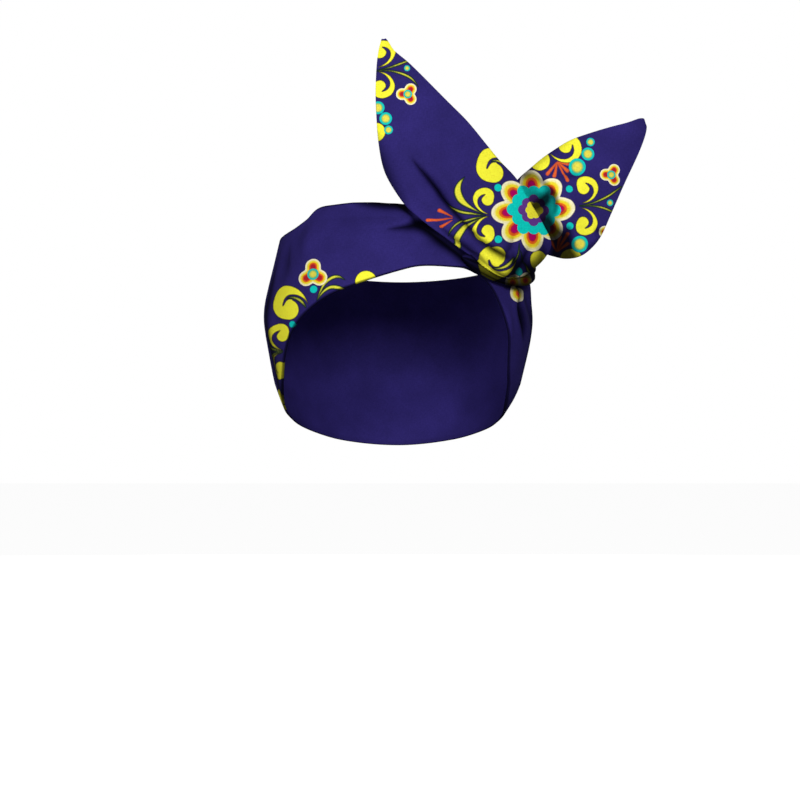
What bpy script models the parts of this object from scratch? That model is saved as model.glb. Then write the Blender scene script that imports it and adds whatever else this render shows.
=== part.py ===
"""Cloth headband, worn: a wide folded strip round the head, crossed at the front right, with both
ends standing up as two pointed ears. Metres, +Z up, the face looks along -Y.

The origin is the centre of the head hollow, level with the brow line, where the band sits on a head.
Lengths in the tables are millimetres and angles are degrees, so that they read like a tape measure."""
import math

import bmesh
import bpy
import numpy as np
from mathutils import Vector
from mathutils.bvhtree import BVHTree

MM = 0.001
BAND_THICK = 2.4      # two layers of printed cotton with a soft filler
EAR_THICK = 3.2       # two layers and the seam allowance folded between them
GAP = 0.3             # kept between pieces that touch
BAND_COLUMNS = 120    # faces round the head
BAND_SPANS = 12       # faces from hem to hem
EAR_SPANS = 12
ROLL_SIDES = 16
ROLL_ROWS = 4         # rows of the roll between two rows of its table

# Head hollow: half sizes of the middle of the cloth at each height
HEAD = (
    # height, left, right, front, back
    (-36.0, 52.0, 48.0, 56.0, 69.0),
    (-22.0, 60.0, 56.0, 66.0, 77.0),
    (-10.0, 65.3, 61.3, 74.0, 82.0),
    (0.0, 69.3, 68.3, 80.0, 88.0),
    (10.0, 72.8, 72.6, 85.0, 93.0),
    (25.0, 76.2, 76.2, 90.0, 97.0),
    (40.0, 78.8, 79.2, 94.0, 98.5),
    (52.0, 79.8, 79.8, 96.0, 98.5),
    (65.0, 77.3, 77.8, 97.0, 97.5),
    (80.0, 73.8, 74.8, 95.0, 95.0),
    (95.0, 70.3, 70.8, 89.0, 91.0),
    (105.0, 65.8, 65.8, 82.0, 86.0),
    (120.0, 58.8, 58.8, 69.0, 78.0),
)

# Band: where each line across the strip starts on the face hem and ends on the crown hem.
# Angles run from the face round over the right side and the nape to the left side.
BAND = (
    # low angle, low height, high angle, high height
    (0.0, 73.7, 0.0, 113.5),
    (10.0, 76.6, 12.0, 112.5),
    (23.0, 76.4, 26.0, 110.0),
    (32.5, 75.4, 37.0, 107.0),
    (39.5, 71.0, 46.0, 104.0),
    (44.5, 64.0, 53.0, 101.0),
    (48.5, 54.5, 59.0, 99.0),
    (52.0, 44.0, 65.0, 97.5),
    (56.0, 31.5, 72.0, 96.0),
    (61.0, 14.0, 79.0, 94.0),
    (69.0, 0.5, 87.0, 91.5),
    (84.0, -8.5, 97.0, 88.5),
    (110.0, -17.0, 113.0, 84.0),
    (143.0, -24.5, 143.0, 77.0),
    (180.0, -28.0, 180.0, 74.0),
    (217.0, -24.5, 217.0, 78.0),
    (248.0, -16.0, 248.0, 87.0),
    (268.0, -8.8, 267.0, 94.0),
    (280.0, -1.0, 279.0, 96.8),
    (291.0, 10.5, 289.5, 98.6),
    (300.0, 25.5, 298.5, 101.6),
    (308.0, 39.0, 306.0, 106.2),
    (318.0, 50.5, 312.5, 112.0),
    (330.0, 60.3, 325.0, 113.6),
    (344.0, 67.2, 343.0, 114.6),
)

# Folds pressed into the band or standing on it, each along a straight line on the head form
FOLDS = (
    # start angle, start height, end angle, end height, half width, rise
    (-6.0, 97.0, 14.0, 100.0, 5.0, -2.2),
    (54.0, 64.0, 68.0, 34.0, 6.0, -2.6),
    (61.0, 66.0, 82.0, 28.0, 7.0, 2.4),
    (49.0, 60.0, 58.0, 30.0, 6.0, 1.2),
    (-47.0, 108.0, -33.0, 88.0, 9.0, 1.6),
    (-62.0, 98.0, -58.0, 72.0, 8.0, -1.4),
    (206.0, 64.0, 150.0, 8.0, 12.0, 1.8),
    (214.0, 8.0, 160.0, 50.0, 10.0, -1.8),
)

# The twist: cloth gathered into a thick roll that lies over the band, under the ears
ROLL = (
    # angle, height, half height, half depth
    (29.0, 82.0, 2.0, 1.6),
    (34.0, 79.5, 5.0, 3.0),
    (41.0, 77.8, 8.5, 4.4),
    (49.0, 77.6, 11.0, 5.2),
    (57.5, 77.2, 11.2, 5.8),
    (66.0, 77.8, 10.0, 5.8),
    (74.0, 80.5, 8.2, 5.0),
    (81.0, 84.5, 5.8, 3.6),
    (88.0, 88.0, 3.0, 2.0),
)

# Ears: a section across the strip at each row, from the twist to the point
LONG_EAR = (
    # x, y, z of the middle, half width, tilt, turn, bow, sag, crease
    (63.0, -66.5, 77.5, 23.0, -4.8, 48.8, 11.5, 7.0, 0.0),
    (63.5, -67.5, 83.5, 30.0, 2.1, 40.6, 11.0, 4.0, 0.6),
    (59.0, -67.5, 90.7, 36.0, 2.5, 32.0, 9.0, 1.5, 2.2),
    (51.5, -70.5, 100.1, 37.0, 4.8, 26.5, 7.5, 0.0, 2.8),
    (43.5, -74.0, 109.7, 36.0, 7.3, 19.0, 6.5, 0.0, 2.8),
    (35.6, -78.0, 120.5, 34.8, 12.9, 13.5, 5.5, 0.0, 2.4),
    (27.1, -82.0, 131.5, 32.9, 11.5, 10.5, 4.5, 0.0, 1.4),
    (21.0, -84.0, 141.1, 30.6, 12.1, 7.5, 4.5, 0.0, 0.5),
    (14.2, -86.0, 154.8, 26.1, 12.5, 4.4, 4.0, 0.0, 0.0),
    (7.9, -87.0, 167.9, 20.6, 10.7, 2.8, 3.5, 0.0, 0.0),
    (2.0, -87.0, 180.5, 14.9, 10.0, 0.0, 3.0, 0.0, 0.0),
    (-3.2, -86.5, 192.2, 9.0, 9.7, -3.2, 2.0, 0.0, 0.0),
    (-6.6, -85.5, 200.2, 4.3, 3.1, -6.6, 1.0, 0.0, 0.0),
    (-7.8, -84.0, 205.8, 1.4, 0.0, 0.0, 0.3, 0.0, 0.0),
)
SHORT_EAR = (
    # x, y, z of the middle, half width, tilt, turn, bow, sag, crease
    (67.5, -44.5, 100.0, 14.5, -60.0, 20.0, 1.5, 0.0, 0.0),
    (74.0, -45.0, 104.0, 19.5, -63.2, 16.0, 2.5, 0.0, 0.6),
    (80.4, -45.5, 106.7, 25.0, -64.4, 13.0, 4.0, 0.0, 1.8),
    (87.7, -47.3, 109.1, 28.6, -67.6, 11.0, 4.5, 0.0, 2.0),
    (95.0, -47.5, 112.6, 30.9, -69.0, 9.0, 4.5, 0.0, 1.0),
    (102.1, -47.5, 117.3, 31.2, -70.6, 7.0, 4.0, 0.0, 0.4),
    (109.7, -47.5, 123.8, 29.6, -72.1, 6.0, 4.0, 0.0, 0.0),
    (118.0, -46.5, 132.3, 24.6, -74.2, 6.0, 3.5, 0.0, 0.0),
    (127.8, -45.5, 143.0, 17.3, -74.6, 6.0, 2.5, 0.0, 0.0),
    (137.3, -44.5, 152.8, 10.3, -74.4, 6.0, 1.5, 0.0, 0.0),
    (143.0, -44.0, 160.4, 4.9, -67.7, 6.0, 0.7, 0.0, 0.0),
    (144.8, -43.5, 162.7, 2.1, -74.1, 0.0, 0.2, 0.0, 0.0),
)


def along(table, place, ring=False):
    """The row of a table at a place between its rows, on a smooth curve through them."""
    rows = np.array(table, float)
    count = len(rows)
    base = int(math.floor(place))
    if not ring:
        base = min(max(base, 0), count - 2)
    part = place - base

    def row(i):
        if not ring:
            return rows[min(max(i, 0), count - 1)]
        turned = rows[i % count].copy()
        turned[[0, 2]] += 360.0 * (i // count)
        return turned

    a, b, c, d = (row(base + k) for k in (-1, 0, 1, 2))
    return 0.5 * (2 * b + (c - a) * part + (2 * a - 5 * b + 4 * c - d) * part ** 2
                  + (3 * b - a - 3 * c + d) * part ** 3)


def head_sizes(height):
    table = np.array(HEAD)
    return [np.interp(height, table[:, 0], table[:, k]) for k in range(1, 5)]


def on_head(angle, height, out=0.0):
    """A point on the head form, or out millimetres off it."""
    left, right, front, back = head_sizes(height)
    side, ahead = math.sin(math.radians(angle)), math.cos(math.radians(angle))
    across = (right if side > 0 else left) + out
    deep = (front if ahead > 0 else back) + out
    return np.array((across * side, -deep * ahead, height))


def fold_rise(angle, height):
    """How far the folds lift the band at a place."""
    rise = 0.0
    for from_angle, from_height, to_angle, to_height, half_width, most in FOLDS:
        turn = (angle - from_angle + 180.0) % 360.0 - 180.0
        start = np.array((0.0, from_height))
        step = np.array((math.radians(to_angle - from_angle) * 80.0, to_height - from_height))
        point = np.array((math.radians(turn) * 80.0, height))
        part = float(np.clip(np.dot(point - start, step) / np.dot(step, step), 0.0, 1.0))
        off = np.linalg.norm(point - start - part * step) / half_width
        rise += most * math.exp(-off * off) * math.sin(math.pi * (0.15 + 0.7 * part))
    return rise


def highest_near(angle, height, reach):
    """The highest rise of the folds under a rope of this radius."""
    return max(fold_rise(angle, height + reach * k) for k in (-1.0, -0.5, 0.0, 0.5, 1.0))


def spread(count):
    """Places from 0 to 1, closer together at both edges."""
    even = np.linspace(0.0, 1.0, count + 1)
    return 0.45 * even + 0.55 * (0.5 - 0.5 * np.cos(math.pi * even))


def band_middle():
    grid = []
    for column in range(BAND_COLUMNS):
        low_angle, low, high_angle, high = along(BAND, column * len(BAND) / BAND_COLUMNS, ring=True)
        line = []
        for part in spread(BAND_SPANS):
            angle = low_angle + (high_angle - low_angle) * part
            height = low + (high - low) * part
            line.append(on_head(angle, height, fold_rise(angle, height)))
        grid.append(line)
    return np.array(grid)


def ear_middle(table, rows_between, under, over):
    """The middle surface of an ear, in front of the surfaces in under and behind those in over."""
    grid = []
    for step in np.linspace(0.0, len(table) - 1.0, (len(table) - 1) * rows_between + 1):
        x, y, z, half, tilt, turn, bow, sag, crease = along(table, step)
        tilt, turn = math.radians(tilt), math.radians(turn)
        across = np.array((math.cos(tilt) * math.cos(turn), math.sin(turn),
                           math.sin(tilt) * math.cos(turn)))
        line = []
        for part in spread(EAR_SPANS):
            side = 2.0 * part - 1.0
            point = np.array((x, y, z)) + across * half * side
            point[1] -= bow * (1.0 - side * side)
            point[2] -= sag * (1.0 - side * side)
            point[1] += crease * math.exp(-((side + 0.25) / 0.16) ** 2)
            for surface, room in under:
                point[1] = min(point[1], face_of(surface, point, -room))
            for surface, room in over:
                point[1] = max(point[1], face_of(surface, point, room))
            line.append(point)
        grid.append(line)
    return np.array(grid)


def face_of(surface, point, room):
    """The y at which a front view through a point meets a surface, moved room off that surface."""
    hit, normal, _, _ = surface.ray_cast(Vector((point[0], -900.0, point[2])), Vector((0, 1, 0)))
    if hit is None:
        return 900.0 if room < 0.0 else -900.0
    return hit.y + room / max(abs(normal.y), 0.4)


def surface_of(grid, ring):
    """A grid of points as a surface that a line of sight can meet."""
    rows, across = grid.shape[:2]
    faces = [(i * across + j, i * across + j + 1, (i + 1) % rows * across + j + 1,
              (i + 1) % rows * across + j) for i in range(rows if ring else rows - 1)
             for j in range(across - 1)]
    return BVHTree.FromPolygons([Vector(point) for point in grid.reshape(-1, 3)], faces)


def roll_path():
    """Middle points and half sizes of the roll, which is seated on the band and its folds."""
    steps = np.linspace(0.0, len(ROLL) - 1.0, (len(ROLL) - 1) * ROLL_ROWS + 1)
    rows = np.array([along(ROLL, step) for step in steps])
    path = [on_head(a, h, 0.5 * BAND_THICK + GAP + deep + highest_near(a, h, tall))
            for a, h, tall, deep in rows]
    return rows, np.array(path)


def loft(name, loops, ring):
    """A closed body through closed loops of points, bent into a ring or with both ends filled."""
    mesh = bpy.data.meshes.new(name)
    bm = bmesh.new()
    lines = [[bm.verts.new(Vector(point) * MM) for point in loop] for loop in loops]
    count = len(lines[0])
    pairs = list(zip(lines, lines[1:])) + ([(lines[-1], lines[0])] if ring else [])
    for one, two in pairs:
        for k in range(count):
            bm.faces.new((one[k], one[(k + 1) % count], two[(k + 1) % count], two[k]))
    if not ring:
        for line in (lines[0], lines[-1]):
            hub = bm.verts.new(sum((v.co for v in line), Vector()) / count)
            for k in range(count):
                bm.faces.new((line[k], line[(k + 1) % count], hub))
    bmesh.ops.recalc_face_normals(bm, faces=bm.faces)
    if bm.calc_volume(signed=True) < 0:
        bmesh.ops.reverse_faces(bm, faces=bm.faces)
    for face in bm.faces:
        face.smooth = True
    bm.to_mesh(mesh)
    bm.free()
    part = bpy.data.objects.new(name, mesh)
    bpy.context.scene.collection.objects.link(part)
    return part


def cloth(name, middle, thick, ring):
    """A cloth wall on both sides of a middle surface, thinner towards its two hems."""
    if ring:
        down = np.roll(middle, -1, 0) - np.roll(middle, 1, 0)
    else:
        down = np.gradient(middle, axis=0)
    normal = np.cross(down, np.gradient(middle, axis=1))
    normal /= np.linalg.norm(normal, axis=2, keepdims=True)
    side = np.abs(2.0 * spread(middle.shape[1] - 1) - 1.0)
    half = 0.5 * thick * np.maximum(np.sqrt(1.0 - side ** 10), 0.3)
    front = middle + normal * half[None, :, None]
    rear = middle - normal * half[None, :, None]
    return loft(name, np.concatenate((front, rear[:, ::-1]), 1), ring)


def roll_loops():
    """The sections of a rope of gathered cloth along the head form."""
    rows, path = roll_path()
    loops = []
    for (angle, height, tall, deep), centre in zip(rows, path):
        loop = []
        for k in range(ROLL_SIDES):
            turn = 2.0 * math.pi * k / ROLL_SIDES
            rise = tall * math.sin(turn)
            out = deep * math.cos(turn)
            base = on_head(angle, height + rise) - on_head(angle, height)
            face = on_head(angle, height, 1.0) - on_head(angle, height)
            loop.append(centre + base + face / np.linalg.norm(face) * out)
        loops.append(loop)
    return np.array(loops)


def material(name, colour, roughness):
    made = bpy.data.materials.new(name)
    made.use_nodes = True
    shader = made.node_tree.nodes["Principled BSDF"]
    shader.inputs["Base Color"].default_value = (*colour, 1.0)
    shader.inputs["Roughness"].default_value = roughness
    shader.inputs["Metallic"].default_value = 0.0
    return made


def main():
    for old in list(bpy.data.objects):
        bpy.data.objects.remove(old, do_unlink=True)
    band = band_middle()
    loops = roll_loops()
    ear_room = GAP + 0.1 + 0.5 * EAR_THICK
    band_face = (surface_of(band, ring=True), 0.5 * BAND_THICK + ear_room)
    roll_face = (surface_of(np.concatenate((loops, loops[:, :1]), 1), ring=False), ear_room + 0.9)
    long_ear = ear_middle(LONG_EAR, 2, under=(band_face, roll_face), over=())
    long_face = (surface_of(long_ear, ring=False), 0.5 * EAR_THICK + ear_room)
    short_ear = ear_middle(SHORT_EAR, 2, under=(band_face,), over=(long_face,))
    parts = (
        (cloth("head_band", band, BAND_THICK, ring=True), (0.028, 0.020, 0.150)),
        (loft("knot_wrap", loops, ring=False), (0.024, 0.017, 0.130)),
        (cloth("long_ear", long_ear, EAR_THICK, ring=False), (0.030, 0.022, 0.155)),
        (cloth("short_ear", short_ear, EAR_THICK, ring=False), (0.032, 0.024, 0.160)),
    )
    for part, colour in parts:
        part.data.materials.append(material(part.name + "_cloth", colour, 0.78))


main()
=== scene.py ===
# %% [markdown]
# # A cloth headband with two pointed ears
# The real thing is one strip of printed cotton, sewn double with a soft wire in its edge. It goes
# round the head, its ends cross at the front right, and the wire lets both ends stand up as ears.
# It could be draped by simulation, but the photograph fixes each fold, so this lesson lays flat
# grids of cloth and bends them with measured tables instead, all in millimetres.

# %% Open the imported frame
import math

import bmesh
import bpy
import numpy as np
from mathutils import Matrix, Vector
from mathutils.bvhtree import BVHTree


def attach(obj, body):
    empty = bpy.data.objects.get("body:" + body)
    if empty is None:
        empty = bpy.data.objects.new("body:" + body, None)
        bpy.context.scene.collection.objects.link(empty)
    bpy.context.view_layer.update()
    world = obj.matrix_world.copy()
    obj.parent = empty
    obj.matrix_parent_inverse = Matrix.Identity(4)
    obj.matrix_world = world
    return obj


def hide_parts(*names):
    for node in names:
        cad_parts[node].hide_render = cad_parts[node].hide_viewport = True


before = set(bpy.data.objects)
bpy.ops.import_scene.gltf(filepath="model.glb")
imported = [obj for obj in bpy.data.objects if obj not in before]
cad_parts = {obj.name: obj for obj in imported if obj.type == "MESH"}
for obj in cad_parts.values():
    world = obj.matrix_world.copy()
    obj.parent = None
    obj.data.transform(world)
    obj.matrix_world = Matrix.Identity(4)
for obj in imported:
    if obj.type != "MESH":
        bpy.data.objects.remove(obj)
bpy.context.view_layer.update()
MM = 0.001

# %% [markdown]
# ## Camera
# The photograph looks level and straight at the front from some way off, so the perspective is
# weak. A long lens two metres away gives that: 150 mm on a 36 mm sensor shows 0.48 m.

# %% Place the camera
LENS, SENSOR = 150.0, 36.0
AWAY, ASIDE = 2.0, 0.0012  # the step aside puts the picture's middle where the photograph has it


def new_object(name, data):
    """Put a mesh, a camera or a lamp into the scene."""
    thing = bpy.data.objects.new(name, data)
    bpy.context.scene.collection.objects.link(thing)
    return thing


camera = new_object("camera", bpy.data.cameras.new("camera"))
camera.data.lens = LENS
camera.data.sensor_width = SENSOR
camera.data.clip_end = 20.0
camera.location = (ASIDE, -AWAY, 0.0)
camera.rotation_euler = (math.radians(90.0), 0.0, 0.0)
bpy.context.scene.camera = camera
print("camera", tuple(camera.location))

# %% [markdown]
# ## Tables of the worn form
# Cloth that is worn takes the shape of what is under it. These tables give the head hollow at a
# few heights, and for each line across the strip where it starts on the lower hem and ends on the
# crown hem. They are the same sizes that the CAD solids were made from.

# %% Tables: head hollow and band
# Half sizes of the hollow, measured to the middle of the cloth.
HEAD = (
    # height, left, right, front, back
    (-36, 52, 48, 56, 69),
    (-22, 60, 56, 66, 77),
    (-10, 65.3, 61.3, 74, 82),
    (0, 69.3, 68.3, 80, 88),
    (10, 72.8, 72.6, 85, 93),
    (25, 76.2, 76.2, 90, 97),
    (40, 78.8, 79.2, 94, 98.5),
    (52, 79.8, 79.8, 96, 98.5),
    (65, 77.3, 77.8, 97, 97.5),
    (80, 73.8, 74.8, 95, 95),
    (95, 70.3, 70.8, 89, 91),
    (105, 65.8, 65.8, 82, 86),
    (120, 58.8, 58.8, 69, 78),
)
BAND = (
    # low angle, low height, high angle, high height
    (0, 73.7, 0, 113.5),
    (10, 76.6, 12, 112.5),
    (23, 76.4, 26, 110),
    (32.5, 75.4, 37, 107),
    (39.5, 71, 46, 104),
    (44.5, 64, 53, 101),
    (48.5, 54.5, 59, 99),
    (52, 44, 65, 97.5),
    (56, 31.5, 72, 96),
    (61, 14, 79, 94),
    (69, 0.5, 87, 91.5),
    (84, -8.5, 97, 88.5),
    (110, -17, 113, 84),
    (143, -24.5, 143, 77),
    (180, -28, 180, 74),
    (217, -24.5, 217, 78),
    (248, -16, 248, 87),
    (268, -8.8, 267, 94),
    (280, -1, 279, 96.8),
    (291, 10.5, 289.5, 98.6),
    (300, 25.5, 298.5, 101.6),
    (308, 39, 306, 106.2),
    (318, 50.5, 312.5, 112),
    (330, 60.3, 325, 113.6),
    (344, 67.2, 343, 114.6),
)
print(len(BAND), "lines across the band")

# %% [markdown]
# ## Reading a table between its rows
# A few rows are easy to measure, but a cloth needs hundreds of points. A Catmull-Rom curve goes
# smoothly through every row, so one helper fills in the places between them.

# %% Smooth reading of tables and the head hollow
def between(table, place, ring=False):
    """Rows of a table at fractional places; a ring starts again, one full turn on."""
    rows, place = np.array(table, float), np.asarray(place, float)
    count = len(rows)
    base = np.floor(place).astype(int)
    if not ring:
        base = np.clip(base, 0, count - 2)
    part = (place - base)[..., None]

    def row(i):
        if not ring:
            return rows[np.clip(i, 0, count - 1)]
        turned = rows[i % count].copy()
        turned[..., 0] += 360.0 * (i // count)
        turned[..., 2] += 360.0 * (i // count)
        return turned

    a, b, c, d = (row(base + k) for k in (-1, 0, 1, 2))
    return 0.5 * (2 * b + (c - a) * part + (2 * a - 5 * b + 4 * c - d) * part ** 2
                  + (3 * b - a - 3 * c + d) * part ** 3)


def head_sizes(height):
    """Half sizes of the hollow at a height, softened over the neighbouring rows."""
    heights = np.array(HEAD)[:, 0]
    place = np.interp(height, heights, np.arange(len(heights)))
    soft = 0.0
    for shift, share in ((-0.6, 0.25), (0.0, 0.5), (0.6, 0.25)):
        soft = soft + share * between(HEAD, np.clip(place + shift, 0.0, len(HEAD) - 1.0))
    return soft[..., 1], soft[..., 2], soft[..., 3], soft[..., 4]


def on_head(angle, height, out=0.0):
    """Place round the hollow, with angle 0 in front and 90 at the viewer's right."""
    left, right, front, back = head_sizes(height)
    side, ahead = np.sin(np.radians(angle)), np.cos(np.radians(angle))
    mix = 0.5 + 0.5 * np.tanh(side / 0.12)
    across = left + (right - left) * mix + out
    deep = np.where(ahead > 0.0, front, back) + out
    return np.stack((across * side, -deep * ahead, height + 0.0 * across), -1)


print("front, right and back", on_head(np.array((0.0, 90.0, 180.0)), np.zeros(3)).round(1).tolist())

# %% [markdown]
# ## Folds
# A fold in worn cloth is a soft ridge or a pinched valley that fades out along its length. Each
# row below is one fold on the flat cloth: where it starts and ends, its half width and its height.
# One side of a pinched fold is steeper than the other, which the lean column gives.

# %% Fold helper
def folds(along, up, table):
    """Height of all the folds of a table at places on the cloth."""
    rise = np.zeros_like(along)
    for u0, v0, u1, v1, half, most, lean in table:
        du, dv = u1 - u0, v1 - v0
        length = math.hypot(du, dv)
        part = ((along - u0) * du + (up - v0) * dv) / length ** 2
        off = ((along - u0) * dv - (up - v0) * du) / length
        wide = half * np.where(off > 0.0, 1.0 + lean, 1.0 - lean)
        over = np.maximum(np.maximum(-part, part - 1.0), 0.0) * length / half
        fade = np.clip(np.minimum(part, 1.0 - part) * 2.2, 0.0, 1.0)
        fade = fade * fade * (3.0 - 2.0 * fade)
        rise += most * np.exp(-(off / wide) ** 2 - over ** 2) * fade
    return rise


def beside(u, v, path):
    """Distance of all places from each short piece of a path, and the path's other columns."""
    fine = between(path, np.linspace(0.0, len(path) - 1.0, 4 * len(path) - 3))
    for (x0, y0, *start), (x1, y1, *end) in zip(fine, fine[1:]):
        dx, dy = x1 - x0, y1 - y0
        part = np.clip(((u - x0) * dx + (v - y0) * dy) / (dx * dx + dy * dy), 0.0, 1.0)
        gap = np.hypot(u - x0 - part * dx, v - y0 - part * dy)
        yield gap, *(a + (b - a) * part for a, b in zip(start, end))


def crease(along, up, path):
    """Height of one fold that bends; path rows are a place, a half width and a height."""
    best = np.zeros_like(along)
    for gap, wide, high in beside(along, up, path):
        height = high * np.exp(-(gap / wide) ** 1.5)
        best = np.where(np.abs(height) > np.abs(best), height, best)
    return best

# %% [markdown]
# ## Flat cloth that is bent to shape
# A tailor starts from a flat strip, and so does each piece here: bmesh makes a flat grid, and its
# points are then moved. The grid keeps even rows and columns, so the print and the weave can
# follow the cloth, and Solidify gives the wall its thickness at the end.

# %% Flat grid, bending and wall thickness
def flat_cloth(name, columns, rows):
    """A flat unit grid and the column and row share of each of its points."""
    mesh = bpy.data.meshes.new(name)
    bm = bmesh.new()
    bmesh.ops.create_grid(bm, x_segments=columns, y_segments=rows, size=0.5, calc_uvs=True)
    for face in bm.faces:
        face.smooth = True
    bm.to_mesh(mesh)
    bm.free()
    flat = np.empty(len(mesh.vertices) * 3)
    mesh.vertices.foreach_get("co", flat)
    flat = flat.reshape(-1, 3)
    return new_object(name, mesh), flat[:, 0] + 0.5, flat[:, 1] + 0.5


def bend(piece, places, along, up):
    """Move the points to their places; the cloth coordinates become a UV map in metres."""
    mesh = piece.data
    mesh.vertices.foreach_set("co", (places * MM).ravel())
    mesh.update()
    corner = np.empty(len(mesh.loops), int)
    mesh.loops.foreach_get("vertex_index", corner)
    layer = mesh.uv_layers[0] if mesh.uv_layers else mesh.uv_layers.new()
    layer.name = "cloth"
    layer.data.foreach_set("uv", (np.stack((along, up), -1)[corner] * MM).ravel())
    print(piece.name, "lies from", places.min(0).round(1), "to", places.max(0).round(1))


def field(piece, name, values):
    """Keep one number at each point for the material."""
    made = piece.data.attributes.new(name, "FLOAT", "POINT")
    made.data.foreach_set("value", np.asarray(values, np.float32))


def wall(piece, thick, share):
    """Both faces of the cloth; share is the part of the full thickness at each point."""
    group = piece.vertex_groups.new(name="wall")
    for level in np.unique(np.round(share, 2)):
        chosen = np.nonzero(np.round(share, 2) == level)[0]
        group.add(chosen.tolist(), float(level), "REPLACE")
    solid = piece.modifiers.new("wall", "SOLIDIFY")
    solid.thickness = thick * MM
    solid.offset = 0.0
    solid.use_even_offset = False
    solid.material_offset = 1
    solid.vertex_group = "wall"


def edge_share(place, width, thin):
    """1 inside the cloth, falling to thin at both hems over a rounded edge of this width."""
    near = np.clip(np.minimum(place, place.max() - place) / width, 0.0, 1.0)
    return thin + (1.0 - thin) * np.sqrt(1.0 - (1.0 - near) ** 2)

# %% [markdown]
# ## The band
# It is one ring of double cloth. Lines across the strip run from hem to hem round the hollow, and
# folds are pushed straight out from it. The gathers fan out from the crossing at the front right,
# where both ends of the strip pull the cloth together. A real gather swallows light that an open
# model lets in, so each point also keeps a painted shade that darkens the cotton's colour in its
# folds, at its hems and where its sides turn away from the lamps.

# %% Band: folds
# Places are millimetres round the head from the middle of the front, and millimetres up.
BAND_FOLDS = (
    # around, up, to around, to up, half width, rise, lean
    (4, 88, 44, 92, 3.5, -0.6, 0.3),
    (14, 80, 52, 84, 3.5, 1.2, 0),
    (85, 68, 108, 28, 5.5, 2.4, 0),
    (74, 60, 84, 26, 4, 1.3, 0),
    (95, 72, 134, 40, 5, -1.8, 0.2),
    (100, 80, 146, 60, 6, 1.6, 0),
    (-76, 104, -58, 82, 9, 1.6, 0),
    (-98, 96, -84, 66, 7, -1.4, 0.2),
    (-112, 60, -96, 24, 8, 1.3, 0),
    (-130, 40, -112, 4, 7, -1.2, 0.2),
    (-200, 66, -248, 10, 12, 1.8, 0.2),
    (210, 60, 258, 4, 12, 1.8, -0.2),
    (-150, 84, -190, 60, 9, -1.6, 0),
    (160, 80, 205, 64, 9, -1.6, 0),
    (-246, 34, -280, 20, 10, -1.4, 0),
)
# The depth of every crease also paints shade into the colour: along the long ear's edge and under
# the knot it is a painted shadow of the ear and the knot, and on the crown hem it is painted shade
# of the hem turning back.
BAND_CREASES = (
    # the pleat that runs in under the long ear, and the puff above it
    ((-9, 97.6, 1.2, 0), (-3, 98.2, 1.6, -1.4), (3, 98.9, 2.1, -2.4), (9, 99.8, 2.7, -3.4),
     (17, 101.3, 3.3, -4), (30, 102.5, 3.5, -4)),
    ((-8, 103, 4, 0), (10, 105, 4.5, 1.4), (28, 107, 5, 1.8)),
    # the valley along the edge of the long ear, the crown hem, and the gather under the knot
    ((3.6, 111, 2.6, -1.8), (11.2, 104.2, 2.8, -2.6), (18.6, 98.2, 3.2, -3.4),
     (27.8, 92.2, 3.4, -3.8), (43, 82.2, 3.4, -3.6), (52.5, 76.5, 3.2, -2.6)),
    ((-36, 113.8, 1.6, 0), (-24, 113.8, 2.4, -2.8), (-12, 113.6, 3, -4.6), (4, 113.2, 3.2, -5),
     (14, 112.6, 3.2, -4), (24, 112, 3, -2.8)),
    ((78, 66, 2, -0.8), (88, 67.5, 2.6, -2), (97, 68, 2.8, -2.8), (106, 72, 2.6, -2.4)),
    ((101, 68, 3, -3.2), (99.5, 64, 3, -3), (96, 59.8, 2.4, -1.4), (92.2, 55.5, 2.8, -3.8),
     (93.8, 49.9, 3.2, -4), (99.2, 41.2, 2.8, -2.8), (104, 34, 2.4, 0)),
)
BAND_SHADES = (
    # painted shade only, with no shape: darker where both sides of the band turn away from the
    # lamps
    ((-110, 86, 4, 0.4), (-112, 62, 7, 2.2), (-112, 40, 8, 2.8), (-114, 20, 7, 2.6),
     (-116, 4, 6, 1.8)),
    ((125, 60, 3.5, 1), (129, 40, 4.5, 1.8), (131, 10, 4.5, 1.2)),
)
print(len(BAND_FOLDS), "folds and", len(BAND_CREASES), "creases")

# %% Band: shape
BAND_THICK = 1.9
BAND_GRID = (500, 92)
RING_ACROSS, RING_DEEP = 79.0, 96.0  # half sizes, for lengths round the ring
PRINT_TURN = 72.0  # up to this angle the print is placed as the front view shows it
HEM_SHADE, HEM_SHARE = 2.4, 0.03  # painted shade at a hem, and the part of the width that it takes
LOW_SHADE, LOW_TURN = 0.5, 90.0  # painted shade in the lows of soft folds, up to this angle from the front
RIPPLE = 0.25  # faint unevenness of the whole cloth
FRONT_CROWDING = 0.055


def round_head(angle):
    """Millimetres of cloth round the head from the middle of the front to an angle."""
    turns = np.radians(np.linspace(-720.0, 720.0, 2881))
    pace = np.hypot(RING_ACROSS * np.cos(turns), RING_DEEP * np.sin(turns))
    run = np.concatenate(([0.0], np.cumsum(0.5 * (pace[1:] + pace[:-1]) * np.diff(turns))))
    return np.interp(np.radians(angle), turns, run - run[len(run) // 2])


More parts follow.
